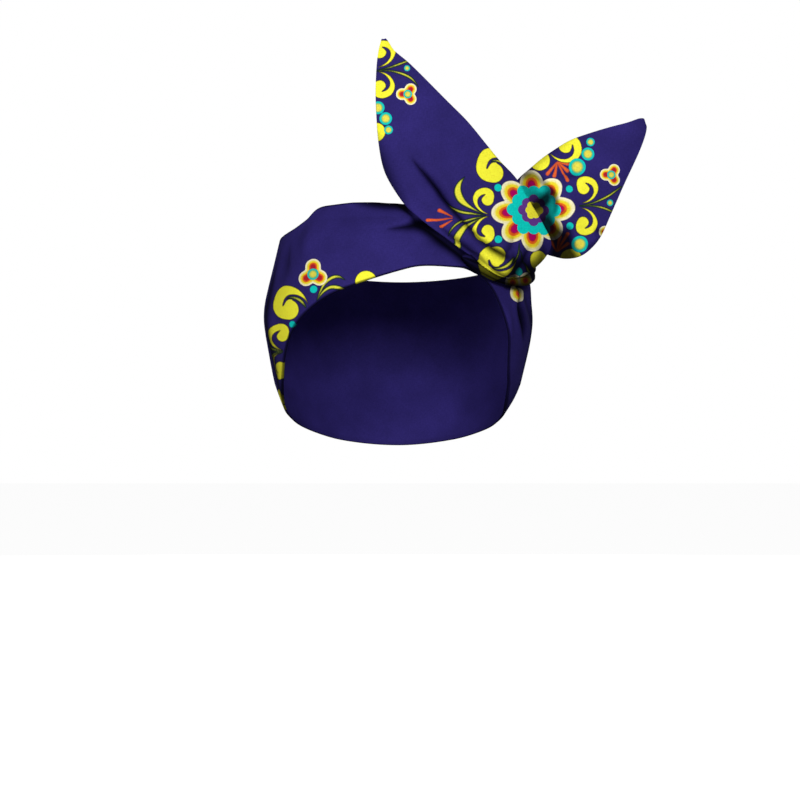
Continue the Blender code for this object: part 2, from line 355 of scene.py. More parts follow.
def band_places(column, row):
    """Worn places, cloth round the head, print across, height, and painted shade of folds and hems.
    """
    lines = between(BAND, column * len(BAND), ring=True)
    low_angle, low, high_angle, high = (lines[:, k] for k in range(4))
    angle = low_angle + (high_angle - low_angle) * row
    height = low + (high - low) * row
    turned = np.where(angle > 180.0, angle - 360.0, angle)
    around = round_head(turned)
    lift = folds(around, height, BAND_FOLDS)
    pleats = sum(crease(around, height, path) for path in BAND_CREASES)
    # Painted shade: darker at the hems, in the creases, along the shade strokes and in the lows of
    # soft folds at the front.
    hem_shade = HEM_SHADE * (1.0 - np.clip(np.minimum(row, 1.0 - row) / HEM_SHARE, 0.0, 1.0))
    shades = sum(crease(around, height, path) for path in BAND_SHADES)
    lows = np.where(np.abs(turned) < LOW_TURN, np.minimum(lift, 0.0), 0.0)
    valley_and_shade = hem_shade - pleats + shades - LOW_SHADE * lows
    facing = np.clip(turned, -PRINT_TURN, PRINT_TURN)
    across = on_head(facing, height)[:, 0] + around - round_head(facing)
    lift += pleats
    lift += RIPPLE * np.sin(around / 9.0 + height / 23.0) * np.sin(height / 13.0 - around / 31.0)
    return on_head(angle, height, lift), round_head(angle), across, height, valley_and_shade


def column_spread(share):
    """Columns lie closer together over the printed front than at the nape."""
    return share - FRONT_CROWDING * np.sin(2.0 * np.pi * share)


band, column, band_row = flat_cloth("band_cloth", *BAND_GRID)
column = column_spread(column)
band_at, band_run, band_across, band_up, band_shade = band_places(column, band_row)
bend(band, band_at, band_run, band_up)

# %% [markdown]
# ## The twist
# Under the ears the crossing is a thick roll of gathered cloth. It lies round the hollow, swells
# in the middle and dies out under the band's own folds, with gathers running along it. A grid is
# rolled up round the path and its long edges are joined. Its print lies where the front view
# shows it, but past a given angle the roll turns away, and there the print goes round with it.

# %% Twist: the gathered roll
ROLL = (
    # angle, height, half height, half depth
    (29, 82, 2, 1.6),
    (34, 79.5, 5, 3),
    (41, 77.8, 8.5, 4.4),
    (49, 77.6, 11, 5.2),
    (57.5, 77.2, 11.2, 5.8),
    (66, 77.8, 10, 5.8),
    (74, 81.3, 7.3, 4.4),
    (81, 84.8, 5.2, 3.2),
    (88, 88, 3, 2),
)
ROLL_GRID = (120, 90)
ROLL_ROUND = 60.0  # millimetres round the roll, for the weave
ROLL_TURN = 62.0  # past this angle the print goes round with the cloth
ROLL_GAP = 0.3  # kept between the roll and the band
PLEAT_DEEP = 0.12  # depth of a gather as a share of the roll's size


def roll_places(along, round_it):
    """Worn places of the roll, print across, and painted shade in its gathers and on its underside.
    """
    rows = between(ROLL, along * (len(ROLL) - 1))
    angle, height, tall, deep = (rows[:, k] for k in range(4))
    ends = np.sqrt(np.clip(1.0 - np.abs(2.0 * along - 1.0) ** 14, 0.0, 1.0))
    turn = 2.0 * np.pi * round_it
    pleat = 1.0 - PLEAT_DEEP * np.cos(2.5 * turn + 2.0 * along) ** 8 - 0.02 * np.cos(5.0 * turn)
    tall, deep = tall * ends * pleat, deep * ends * pleat
    centre = on_head(angle, height, 0.5 * BAND_THICK + ROLL_GAP + deep / pleat.max())
    face = on_head(angle, height, 1.0) - on_head(angle, height)
    face /= np.linalg.norm(face, axis=1, keepdims=True)
    rise = on_head(angle, height + tall * np.sin(turn)) - on_head(angle, height)
    gather = np.clip(1.0 - pleat, 0.0, PLEAT_DEEP)
    # Painted shade: darker in the gathers, and darker on the underside, which faces away from the
    # lamps.
    shade = 3.0 * gather / PLEAT_DEEP + 3.4 - 2.0 * np.sin(turn)
    at = centre + rise + face * (deep * np.cos(turn))[:, None]
    across = at[:, 0] + round_head(angle) - round_head(np.minimum(angle, ROLL_TURN))
    return at, across, shade


twist, column, row = flat_cloth("twist_cloth", *ROLL_GRID)
twist_at, twist_across, twist_shade = roll_places(column, row)
bend(twist, twist_at, twist_at[:, 0], ROLL_ROUND * row)

# %% [markdown]
# ## The ears
# Each end of the strip is a pointed blade, held flat by the wire in its edge. Sections across the
# blade are tabled from the twist to the point: the middle, the half width, how the section leans,
# how far it turns from the viewer, and how much it bows and sags.

# %% Ear tables
LONG_EAR = (
    # x, y, z of the middle, half width, tilt, turn, bow, sag
    (63, -66.5, 77.5, 23, -4.8, 48.8, 11.5, 7),
    (63.9, -67.5, 84, 29.5, 0.9, 40.6, 11, 4),
    (59.8, -67.5, 91.7, 35, 0.6, 32, 9, 1.5),
    (52, -70.5, 100.8, 36.3, 3.8, 26.5, 7.5, 0),
    (43.8, -74, 110.1, 35.7, 6.7, 19, 6.5, 0),
    (36, -78, 120.5, 34.4, 12.9, 13.5, 5.5, 0),
    (27.1, -82, 131.5, 32.9, 11.5, 10.5, 4.5, 0),
    (21, -84, 141.1, 30.6, 12.1, 7.5, 4.5, 0),
    (14.2, -86, 154.8, 26.1, 12.5, 4.4, 4, 0),
    (7.9, -87, 167.9, 20.6, 10.7, 2.8, 3.5, 0),
    (2, -87, 180.5, 14.9, 10, 0, 3, 0),
    (-3.2, -86.5, 192.2, 9, 9.7, -3.2, 2, 0),
    (-6.6, -85.5, 200.2, 4.3, 3.1, -6.6, 1, 0),
    (-7.6, -84.2, 205.4, 2, 0, 0, 0.4, 0),
    (-8.1, -84, 207.3, 0.7, 0, 0, 0.2, 0),
)
SHORT_EAR = (
    # x, y, z of the middle, half width, tilt, turn, bow, sag
    (67.5, -44.5, 100, 14.5, -60, 20, 1.5, 0),
    (74, -45, 104, 19.5, -63.2, 16, 2.5, 0),
    (80.4, -45.5, 106.7, 25, -64.4, 13, 4, 0),
    (87.7, -47.3, 109.1, 28.6, -67.6, 11, 4.5, 0),
    (95, -47.5, 112.6, 30.9, -69, 9, 4.5, 0),
    (102.1, -47.5, 117.3, 31.2, -70.6, 7, 4, 0),
    (109.7, -47.5, 123.8, 29.6, -72.1, 6, 4, 0),
    (118, -46.5, 132.3, 24.6, -74.2, 6, 3.5, 0),
    (127.8, -45.5, 143, 17.3, -74.6, 6, 2.5, 0),
    (137.3, -44.5, 152.8, 10.3, -74.4, 6, 1.5, 0),
    (143, -44, 160.4, 4.9, -67.7, 6, 0.7, 0),
    (144.8, -43.5, 162.7, 2.1, -74.1, 0, 0.2, 0),
)
print(len(LONG_EAR), "and", len(SHORT_EAR), "sections of the ears")

# %% [markdown]
# ## Creases and gathers of the ears
# The twist grips both blades, so they are creased where they leave it, with puffs beside the
# creases. A crease is a path in the front view, and its depth also paints shade into the colour.
# Some gathers are finer than the grid, and those are paths of painted shade only, as is the
# painted shadow that the long ear casts on the short one.

# %% Ear creases and shades
LONG_SHADES = (
    # painted shade only, with no shape: the long ear's gathers by the twist that are too fine to
    # model
    ((51, 87.9, 1.2, 0.5), (56.5, 85.8, 1.8, 4), (63, 81.8, 1.4, 2)),
    ((65.8, 83.7, 1.4, 1), (67, 79, 2.2, 3.6), (65.6, 74.4, 1.8, 2.6)),
    ((72, 80.5, 2.4, 1.5), (76.6, 75, 3.4, 4.6), (78, 69, 3, 4.6)),
    ((54, 75.2, 1.3, 2), (60, 71.5, 1.8, 4), (66.5, 71, 2.4, 4.6)),
)
SHORT_SHADES = (
    # painted shade only, with no shape: the painted shadow where the short ear folds in behind the
    # long one, and painted shade on its gathered foot and along its upper left edge
    ((87.8, 121.5, 2, 2), (86.3, 117.5, 2.6, 7), (82.6, 115, 2.4, 5), (79.4, 113, 2.6, 5)),
    ((70.5, 128.5, 3.4, 1.3), (76.6, 120.5, 3.4, 1.2), (82.5, 109.5, 3, 1.6), (87, 98.5, 3, 4)),
    ((90.5, 120.8, 2.2, 2), (92.5, 116, 2.4, 3.6), (92, 110.5, 1.6, 2)),
    ((87.5, 104.5, 3.2, 3), (91.5, 98.5, 3.8, 4.4), (95.5, 92.5, 4.2, 5.4), (95, 87, 4.2, 5.4)),
    ((96, 108.5, 1.4, 1.6), (100.5, 113, 1.5, 2.4), (103.5, 116, 1.2, 0.8)),
    ((74, 131.5, 2.4, 2.4), (79.5, 131, 2.8, 2.2), (84.5, 127.5, 2.4, 2.4), (91.5, 121, 2, 2.6)),
    ((92, 85.5, 2.4, 3.4), (106, 83.6, 2.2, 2.6)),
    ((112, 90, 1.8, 2), (120.5, 96.5, 1.6, 1.2)),
    ((117, 99.5, 2.2, 2.4), (122, 98.5, 2, 1)),
    ((75, 134, 3.4, 1.4), (83, 140.5, 3.6, 1.5), (92, 147.5, 3.6, 1.4), (101, 153, 2.6, 0.8)),
    ((92, 97, 3, 2.4), (97.5, 92.5, 3.6, 3.8), (102, 86, 3.4, 3.6)),
    ((100, 100.5, 2.2, 2.4), (98.5, 95, 3, 3)),
)
# Rows are x, z, half width and how far the valley goes in; a minus is a ridge beside it.
# How far a valley goes in also darkens the colour there, as painted shade.
LONG_CREASES = (
    # the long pinch down to the knot, and the puffs on both sides of it
    ((7, 140, 1.3, 0), (11.5, 133.9, 1.6, 2.4), (16.7, 128.1, 2, 4.6), (21.9, 121.8, 2.2, 5.8),
     (26, 116, 2.3, 5.8), (31.2, 109.6, 2.3, 5), (36.4, 103.9, 2.2, 4.4), (41.5, 98.7, 2.1, 4),
     (47.3, 92.3, 2.1, 3.6), (54.2, 87.1, 2.4, 3.4), (62, 81.5, 2.2, 0.8)),
    ((17, 136, 4, 0), (25, 127, 5, -1.8), (35, 114, 5, -2), (49, 99, 5, -1.4), (60, 92, 5, 0)),
    ((6, 130, 4, 0), (14, 118, 4.5, -1.8), (24, 107, 4.5, -2), (34, 98, 4, -1.2)),
    # the lower pinch, the two short ones in the grip of the twist
    ((20, 104, 1.8, 0), (29, 95.5, 2.2, 2.4), (39, 88, 2.4, 3.2), (50, 79, 2.2, 2.4),
     (58, 73.5, 2, 0.6)),
    ((76.5, 89.5, 1.8, 0), (73, 83.5, 2.2, 3.4), (69.5, 77.5, 2.4, 4.2), (65, 71, 2.2, 2)),
    ((84, 92, 3, 0.5), (84, 85, 3.5, 3), (81, 77, 4, 4.5), (76, 70, 4, 4.5)),
    ((67, 97, 2.2, 0), (65, 89, 2.4, 1.8), (60.5, 82, 2.2, 1)),
    # the left edge curls back
    ((-14, 157, 3, 0), (-12.5, 146, 4.5, 2), (-9, 133, 5, 3), (-3, 120, 5, 2.6), (4, 109, 4, 1.2)),
)
SHORT_CREASES = (
    ((76, 128, 3, 0.3), (80, 121, 4, 1.2), (84.5, 115, 4.5, 2.6), (87.5, 108, 4.5, 3),
     (90, 100, 5, 3.2), (94, 91, 5, 3), (98, 84, 4, 2.4)),
    ((90, 132, 4, -0.6), (99, 119, 5, -2.4), (104, 106, 5, -2), (108, 96, 4, 0)),
    ((92, 133, 2.2, 0), (101, 130.5, 2.4, 1.8), (110, 131, 2.2, 0)),
)
print(len(LONG_CREASES), "and", len(SHORT_CREASES), "creases in the ears")

# %% [markdown]
# ## Laying a blade over what is under it
# The long ear crosses in front of the band and the twist, and touches both. A line of sight from
# the front finds what lies behind each point, and the point is drawn forward until there is room.
# Spreading and smoothing that shift over its neighbours keeps it looking like stiff cloth.

# %% Ear shape
EYE_Y = -900.0  # from here the lines of sight start
EAR_RIPPLE = 0.22
STEEPEST = 0.4  # a surface that leans away more than this gets no more room
SPREAD_ROUNDS, SMOOTH_ROUNDS = 4, 14


def surface_of(piece):
    """The piece as it lies now, in millimetres, for finding what a line hits."""
    mesh = piece.data
    return BVHTree.FromPolygons([v.co / MM for v in mesh.vertices],
                                [tuple(p.vertices) for p in mesh.polygons])


def ear_places(table, column, row, creases, shades):
    """Worn places of a blade, its cloth coordinates as the front view unrolls them, and painted
    shade.
    """
    rows = between(table, column * (len(table) - 1))
    x, y, z, half, tilt, turn, bow, sag = (rows[:, k] for k in range(8))
    tilt, turn, side = np.radians(tilt), np.radians(turn), 2.0 * row - 1.0
    arch = 1.0 - side ** 2
    along = x + half * side * np.cos(tilt)
    up = z + half * side * np.sin(tilt) - sag * arch
    at = np.stack((x + half * side * np.cos(tilt) * np.cos(turn),
                   y + half * side * np.sin(turn) - bow * arch,
                   z + half * side * np.sin(tilt) * np.cos(turn) - sag * arch), -1)
    valley_and_shade = sum(crease(at[:, 0], at[:, 2], path) for path in creases)
    at[:, 1] += valley_and_shade
    ripple = np.sin(along / 7.0 + up / 17.0) * np.sin(up / 11.0 - along / 19.0)
    at[:, 1] += EAR_RIPPLE * ripple * arch
    # The shade strokes add painted shade only, with no shape.
    valley_and_shade += sum(crease(at[:, 0], at[:, 2], path) for path in shades)
    return at, along, up, valley_and_shade


def lay_over(at, surface, room, grid, behind=False):
    """Draw points in front of a surface, or behind it, and smooth the shift over the grid."""
    way = 1.0 if behind else -1.0
    shift = np.zeros(len(at))
    for i, (x, y, z) in enumerate(at):
        hit, normal, _, _ = surface.ray_cast(Vector((x, EYE_Y, z)), Vector((0.0, 1.0, 0.0)))
        if hit is not None:
            limit = hit.y + way * room / max(abs(normal.y), STEEPEST)
            shift[i] = max(way * (limit - y), 0.0)
    shift = shift.reshape(grid[1] + 1, grid[0] + 1)
    for _ in range(SPREAD_ROUNDS):
        padded = np.pad(shift, 1, mode="edge")
        shift = np.max([padded[1:-1, 1:-1], padded[:-2, 1:-1], padded[2:, 1:-1],
                        padded[1:-1, :-2], padded[1:-1, 2:]], axis=0)
    for _ in range(SMOOTH_ROUNDS):
        padded = np.pad(shift, 1, mode="edge")
        shift = (padded[1:-1, 1:-1] + padded[:-2, 1:-1] + padded[2:, 1:-1]
                 + padded[1:-1, :-2] + padded[1:-1, 2:]) / 5.0
    at[:, 1] += way * shift.ravel()
    return float(shift.max())

# %% Make both ears
EAR_THICK = 1.9
LONG_GAP, SHORT_GAP = 0.35, 0.3  # kept between each ear and what it lies on


def make_ear(name, grid, table, creases, shades, under, behind=False):
    """A blade that lies over, or behind, the pieces of under, with the room that each needs."""
    piece, column, row = flat_cloth(name, *grid)
    at, along, up, valley_and_shade = ear_places(table, column, row, creases, shades)
    moved = [round(lay_over(at, surface_of(other), room, grid, behind), 1)
             for other, room in under]
    bend(piece, at, along, up)
    print("moved", moved)
    return piece, row, at, valley_and_shade


ear_room = LONG_GAP + 0.5 * EAR_THICK
long_ear, long_row, long_at, long_shade = make_ear(
    "long_ear_cloth", (336, 138), LONG_EAR, LONG_CREASES, LONG_SHADES,
    ((band, 0.5 * BAND_THICK + ear_room), (twist, ear_room)))
short_ear, short_row, short_at, short_shade = make_ear(
    "short_ear_cloth", (300, 150), SHORT_EAR, SHORT_CREASES, SHORT_SHADES,
    ((long_ear, SHORT_GAP + EAR_THICK),), behind=True)

# %% [markdown]
# ## The printed pattern
# The cloth carries a folk flower print, the sort that is painted with a loaded brush: scrolls,
# leaves, beads and layered petals. An image texture could hold it, but brush strokes are easy to
# describe by their path and width, so each motif is drawn once in its own unit size and stamped
# at measured places. What is stored on the cloth is each stroke's depth below its edge, and the
# material turns depth into colour, which keeps the edges sharp between the points of the mesh.

# %% Brush strokes
def brush(u, v, path):
    """Depth inside a brush stroke; path rows are x, y and half width."""
    best = np.full(u.shape, -9.0)
    for gap, half in beside(u, v, path):
        best = np.maximum(best, half - gap)
    return best


def stamped(u, v, x, y, size, turn=0.0, flip=1.0):
    """Places on the cloth in the unit size of a motif that is moved, sized and turned."""
    p, q = (u - x) / size, (v - y) / size
    cos, sin = math.cos(math.radians(turn)), math.sin(math.radians(turn))
    return flip * (cos * p + sin * q), cos * q - sin * p


# Rows are x, y and half width, in units of the motif's size, from the eye of the scroll. Both
# curls are a body with a second stroke cut out of it.
SCROLL_BODY = ((0, 0, 0.57), (0.05, 0.44, 0.55), (-0.31, 0.63, 0.46), (-0.84, 0.5, 0.34),
               (-1.13, 0.03, 0.24), (-1.04, -0.47, 0.18), (-0.78, -0.9, 0.12),
               (-0.36, -1.2, 0.07), (0.1, -1.36, 0.02))
SCROLL_CUT = ((-0.24, 0.45, 0.03), (-0.52, 0.28, 0.1), (-0.71, 0.03, 0.15), (-0.73, -0.33, 0.19),
              (-0.58, -0.66, 0.18), (-0.28, -0.92, 0.14))
COMMA_BODY = ((0, 0, 0.645), (-0.35, 0.15, 0.71), (-0.45, 0.45, 0.69), (-0.35, 1, 0.56),
              (0, 1.18, 0.38), (0.42, 1.1, 0.28), (0.8, 0.85, 0.2), (1.08, 0.52, 0.12),
              (1.3, 0.15, 0.03))
COMMA_CUT = ((-0.43, 0.3, 0.04), (-0.27, 0.64, 0.09), (0, 0.82, 0.13), (0.45, 0.78, 0.17),
             (0.84, 0.54, 0.2), (1.06, 0.2, 0.22), (1.2, -0.16, 0.3))
COMMA_LEAF = ((-0.16, 0.72, 0.03), (0.04, 0.8, 0.07), (0.45, 0.74, 0.11), (0.84, 0.5, 0.12),
              (1.12, 0.13, 0.05))
CURLS = (("scrolls", SCROLL_BODY, SCROLL_CUT), ("commas", COMMA_BODY, COMMA_CUT))


def petal_depth(p, q, turns, reach, long, half):
    """Share of the way in from a petal's rim; reach is where the petal is widest."""
    best = np.full(p.shape, -1.0)
    for turn, share in turns:
        cos, sin = math.cos(math.radians(turn)), math.sin(math.radians(turn))
        out, side = p * cos + q * sin, q * cos - p * sin
        depth = 1.0 - np.hypot(np.maximum(out - reach * share, 0.0) / (long * share), side / half)
        best = np.maximum(best, np.where(out > 0.1, depth, -1.0))
    return best


def lobes(p, q, count, far, near, radius):
    """Depth inside a scalloped disc of small round lobes, every second one set nearer."""
    best = max(far, near) - np.hypot(p, q)
    for i in range(count):
        turn, reach = 2.0 * np.pi * i / count, near if i % 2 else far
        gap = np.hypot(p - reach * np.cos(turn), q - reach * np.sin(turn))
        best = np.maximum(best, radius - gap)
    return best


def steps(*depths):
    """Nested depths in one number that passes 1/6, 1/2 and 5/6 at their edges."""
    return sum(np.clip(depth, -0.5, 0.5) + 0.5 for depth in depths) / 3.0

# %% [markdown]
# ## Where the motifs lie
# The ears are seen nearly flat, so their print is placed across and up in the front view, in
# millimetres. So is the print on the front of the band; from where its sides turn away, it is
# placed round the head. Rows are x, y, size, and how far the motif is turned and flipped.

# %% Motif tables
# Petals: the way that each points, in degrees, and its share of the full length
FLOWER_TURNS = ((3, 0.94), (50, 0.88), (95, 0.92), (142, 0.92), (187, 1),
                (226, 1), (267, 0.97), (316, 0.86))
TREFOIL_TURNS = ((0, 1), (120, 1), (240, 1))
EAR_PRINT = {
    "scrolls": ((-10, 199.5, 6.3, 0, -1), (-10.2, 179.7, 6.3, 180, 1),
                (51.3, 115.6, 6.3, 0, 1), (51.4, 97.2, 6.3, 180, -1)),
    "commas": ((54.8, 131, 8.9, 0, 1), (56.1, 82.9, 8.9, 180, -1)),
    "discs": ((-12.3, 153.7, 5.4), (81.6, 81.6, 5.6)),
    "leaves": (
        ((-11.5, 189.1, 0.34), (-5.7, 190.2, 0.57), (0.6, 192.3, 0.86), (6, 194.4, 0.69)),
        ((-11.5, 188.6, 0.34), (-4.6, 188.6, 0.57), (2.9, 186.6, 0.92), (8, 183.7, 0.8),
         (11.5, 179.4, 0.17)),
        ((38.2, 128.4, 0.17), (35.1, 124.4, 1.32), (34, 119.5, 2.25), (36.6, 114.3, 1.9),
         (41.5, 110.5, 1.09), (48.6, 107.1, 0.23)),
        ((27.8, 115.1, 0.17), (30.7, 111.7, 0.69), (36.4, 108.6, 0.92), (43.6, 106.8, 0.75),
         (50.1, 106.4, 0.23)),
        ((28.5, 93.8, 0.17), (31.4, 99, 0.75), (37.1, 102.8, 0.86), (43.6, 104.3, 0.75),
         (50.1, 105.6, 0.23)),
        ((37.1, 82.3, 0.17), (34.5, 88.4, 1.61), (34.1, 93.3, 2.19), (37.1, 98.2, 1.73),
         (41.5, 101.6, 0.98), (47.8, 104.5, 0.23)),
        ((69.7, 90.5, 0.17), (69.2, 85.5, 0.5), (67.6, 81.5, 0.6), (65.2, 79, 0.3)),
        ((70.3, 86.3, 0.17), (71.2, 82.2, 0.46), (73.2, 78.2, 0.17)),
        ((73, 79.3, 0.23), (75.3, 75.3, 1.04), (78.2, 71.8, 0.35)),
    ),
    "sprigs": (
        ((30.8, 104.8, 0.29), (23.5, 108.7, 1.04)), ((30.8, 104, 0.29), (17, 103.1, 1.04)),
        ((30.7, 102.8, 0.29), (24.4, 99.5, 1.04)),
    ),
    "dots": ((57.4, 122.6, 2.2), (57.5, 92.5, 2.2), (69.3, 74.4, 2.3)),
    "beads": ((-11.1, 167.5, 3.7), (-6.8, 161.3, 3.6), (-5.2, 154.8, 2.5), (5.1, 190, 1.7)),
    "trefoils": ((5.6, 175.1, 6.6, 60),),
    "petals": ((71.2, 68.6, 9.2, 186), (70, 68, 9.4, 22)),
    "flowers": ((78.3, 110.4, 25, 0),),
}
SHORT_PRINT = {
    "scrolls": ((98.1, 148.5, 7.6, -58, -1), (108.2, 123.8, 6.4, 0, -1),
                (107.9, 103.7, 6.4, 180, 1)),
    "discs": ((82.8, 139.8, 6), (101.6, 82.7, 6.5)),
    "leaves": (
        ((105.9, 113.5, 0.29), (113.5, 115.2, 0.58), (122.3, 119.3, 0.88), (130.5, 125.2, 0.47)),
        ((106, 113.3, 0.29), (113.6, 113.6, 0.53), (120.6, 112.4, 0.88), (126.5, 110.1, 0.59)),
    ),
    "sprigs": (
        ((92.6, 138.5, 0.47), (87.3, 131.9, 1.11)), ((92.9, 138.5, 0.47), (91.2, 130.7, 1.11)),
        ((93.2, 138.5, 0.47), (98.8, 128, 1.11)), ((93.2, 138.8, 0.47), (98.9, 134.1, 1.11)),
        ((93.2, 138.8, 0.47), (99.1, 137.9, 1.05)), ((93.8, 87.9, 0.47), (99.4, 97.6, 1.11)),
        ((93.2, 87.9, 0.47), (95.3, 96.1, 1.06)), ((92.9, 87.9, 0.47), (90.3, 93.2, 1)),
        ((93.8, 87.6, 0.47), (99.7, 92, 1.06)),
    ),
    "dots": ((99.8, 123, 2.1), (100.7, 102.1, 2.1)),
    "beads": ((112.5, 150.7, 2.5), (110.9, 143.7, 3.8), (104.7, 136.2, 4.9), (106.5, 91.7, 4.8),
              (123.9, 115.7, 1.9)),
    "trefoils": ((124.6, 131.9, 6.7, 60), (124.3, 98.8, 6.9, 60)),
    "flowers": ((79.4, 111, 25.2, 0),),
}
BAND_PRINT = {
    "scrolls": ((-66.5, 37.9, 6.4, 0), (-68.7, 19.2, 6.4, 180, -1)),
    "commas": ((-62.5, 52.5, 8.9, 0), (-78.3, 1.2, 8.9, 180, -1)),
    "discs": ((-18, 67.6, 6.2),),
    "leaves": (
        ((-46, 57.5, 0.3), (-44, 62.7, 0.8), (-41.3, 67.3, 1.1), (-37.2, 70.2, 1.2),
         (-33.3, 70.6, 0.9), (-29.6, 68.6, 0.2)),
        ((-46, 57.5, 0.3), (-42.6, 62, 0.9), (-38.6, 64.6, 1.2), (-34.6, 64.6, 1.3),
         (-30.8, 63.5, 1)),
        ((-82, 34, 0.5), (-76.5, 31.2, 1.1), (-67, 29.2, 0.6)),
        ((-82, 24, 0.5), (-76.5, 26.4, 1.1), (-67, 28.2, 0.6)),
    ),
    "dots": ((-48, 63.8, 2.2), (-60.7, 44.2, 1.9)),
    "trefoils": ((-48.4, 72.5, 8.9, 90), (92, -3, 7, 60)),
    "petals": ((70, 66.8, 9.6, -94),),
}
print("motifs", [sum(map(len, kinds.values())) for kinds in (EAR_PRINT, SHORT_PRINT, BAND_PRINT)])

# %% [markdown]
# ## Stamping the print
# A real print is pressed on one colour after another. Here each kind of stroke has its own layer
# of depths. Beads and the middles of flowers have several colours, so they keep nested depths in
# one layer, which a colour ramp parts again.

# %% Stamp the motifs on a piece
RED_CORE = 0.755  # the depth at which trefoils stop: they have no magenta core
FOLD_RANGE = 6.0  # millimetres of valley at which the painted shade is as dark as it gets
BAND_DARKER = 1.6  # painted shade is stronger on the band, whose folds are shallow for how dark they look


def motif_depths(u, v, motifs):
    """How deep each point lies inside the strokes of every kind of motif."""
    leaf = sprig = scroll = none = np.full(u.shape, -1.0)
    bead = ring = petal = np.zeros(u.shape)
    for kind, body, cut in CURLS:
        for x, y, size, *rest in motifs.get(kind, ()):
            p, q = stamped(u, v, x, y, size, *rest)
            scroll = np.maximum(scroll, size * np.minimum(brush(p, q, body), -brush(p, q, cut)))
            if kind == "commas":
                leaf = np.maximum(leaf, size * brush(p, q, COMMA_LEAF))
    for x, y, size in motifs.get("discs", ()):
        scroll = np.maximum(scroll, size - np.hypot(u - x, v - y))
    for path in motifs.get("leaves", ()):
        leaf = np.maximum(leaf, brush(u, v, path))
    for path in motifs.get("sprigs", ()):
        sprig = np.maximum(sprig, brush(u, v, path))
    for x, y, size in motifs.get("dots", ()):
        bead = np.maximum(bead, steps(size - np.hypot(u - x, v - y), none, none))
    for x, y, size in motifs.get("beads", ()):
        inside = size - np.hypot(u - x, v - y)
        bead = np.maximum(bead, steps(inside, inside - 0.3 * size, inside - 0.5 * size))
    for x, y, size, turn in motifs.get("petals", ()):
        p, q = stamped(u, v, x, y, size, turn)
        petal = np.maximum(petal, 0.84 - 0.64 * np.hypot(2.0 * p - 1.0, 2.0 * q))
    for x, y, size, turn in motifs.get("trefoils", ()):
        p, q = stamped(u, v, x, y, size, turn)
        depth = 0.2 + 0.8 * petal_depth(p, q, TREFOIL_TURNS, 0.5, 0.5, 0.5)
        petal = np.maximum(petal, np.minimum(depth, RED_CORE))
        inside = size * (0.37 - np.hypot(p, q))
        bead = np.maximum(bead, steps(inside, inside - 0.10 * size, inside - 0.2 * size))
    for x, y, size, turn in motifs.get("flowers", ()):
        p, q = stamped(u, v, x, y, size, turn)
        petal = np.maximum(petal, 0.2 + 0.8 * petal_depth(p, q, FLOWER_TURNS, 0.628, 0.372, 0.27))
        ring = np.maximum(ring, steps(size * lobes(p, q, 12, 0.49, 0.42, 0.145),
                                      size * lobes(p, q, 8, 0.25, 0.22, 0.12),
                                      size * lobes(p, q, 6, 0.125, 0.105, 0.09)))
    return np.stack((leaf, sprig, scroll, bead, ring, petal))


def print_cloth(piece, depths, valley_and_shade):
    """Keep the depths on the points of a piece, 0 to 1, and the painted shade at each point."""
    for name, depth in zip(("leaf", "sprig", "scroll"), depths[:3]):
        field(piece, name, np.clip(0.5 + 0.5 * depth, 0.0, 1.0))
    for name, depth in zip(("bead", "ring", "petal"), depths[3:]):
        field(piece, name, np.clip(depth, 0.0, 1.0))
    field(piece, "fold_shade", np.clip(valley_and_shade / FOLD_RANGE, 0.0, 1.0))
    print("print on", piece.name, "yellow share", float((depths[2] > 0.0).mean().round(3)))


print_cloth(long_ear, motif_depths(long_at[:, 0], long_at[:, 2], EAR_PRINT), long_shade)
print_cloth(twist, motif_depths(twist_across, twist_at[:, 2], EAR_PRINT), twist_shade)
print_cloth(short_ear, motif_depths(short_at[:, 0], short_at[:, 2], SHORT_PRINT), short_shade)
print_cloth(band, motif_depths(band_across, band_up, BAND_PRINT), BAND_DARKER * band_shade)

# %% [markdown]
# ## Closing the pieces
# The band's grid has two ends that meet at the front and the twist's has two long edges, so their
# doubled points are merged. The blades and the band get both faces of the cloth from Solidify,
# thinner at the hems, where the turned edge is rounded. The second face takes the piece's second
# material, so the two sides of the cloth can differ.

# %% Close and thicken
EDGE_THIN = 0.4  # thickness at a hem as a share of the wall
EAR_EDGE, BAND_EDGE = 0.02, 0.012  # part of the width over which a hem is rounded


def merge_ends(piece):
    """Join the edges that lie on each other, and turn all faces outwards."""
    bm = bmesh.new()
    bm.from_mesh(piece.data)
    bmesh.ops.remove_doubles(bm, verts=bm.verts, dist=0.00001)
    bmesh.ops.recalc_face_normals(bm, faces=bm.faces)
    bm.to_mesh(piece.data)
    bm.free()


wall(long_ear, EAR_THICK, edge_share(long_row, EAR_EDGE, EDGE_THIN))
wall(short_ear, EAR_THICK, edge_share(short_row, EAR_EDGE, EDGE_THIN))
wall(band, BAND_THICK, edge_share(band_row, BAND_EDGE, EDGE_THIN))
merge_ends(band)
merge_ends(twist)
print("faces", [len(piece.data.polygons) for piece in (band, twist, long_ear, short_ear)])

# %% [markdown]
# ## Printed cotton
# The cloth is matt cotton, and all pieces are one strip, so one recipe does for them all: a fine
# plain weave and small slubs on the cloth's own map, a dye that is a little uneven, and the print
# laid over it layer by layer, each layer a colour ramp that reads one stored depth. Strokes start
# with a dark line at their edge, as they do in the real print.

# %% Colours of the print
def dyed(red, green, blue):
    """A colour as the eye reads it, 0 to 255, turned into the light that Blender counts."""
    return tuple(c / 12.92 if c <= 0.04045 else ((c + 0.055) / 1.055) ** 2.4
                 for c in (red / 255.0, green / 255.0, blue / 255.0))


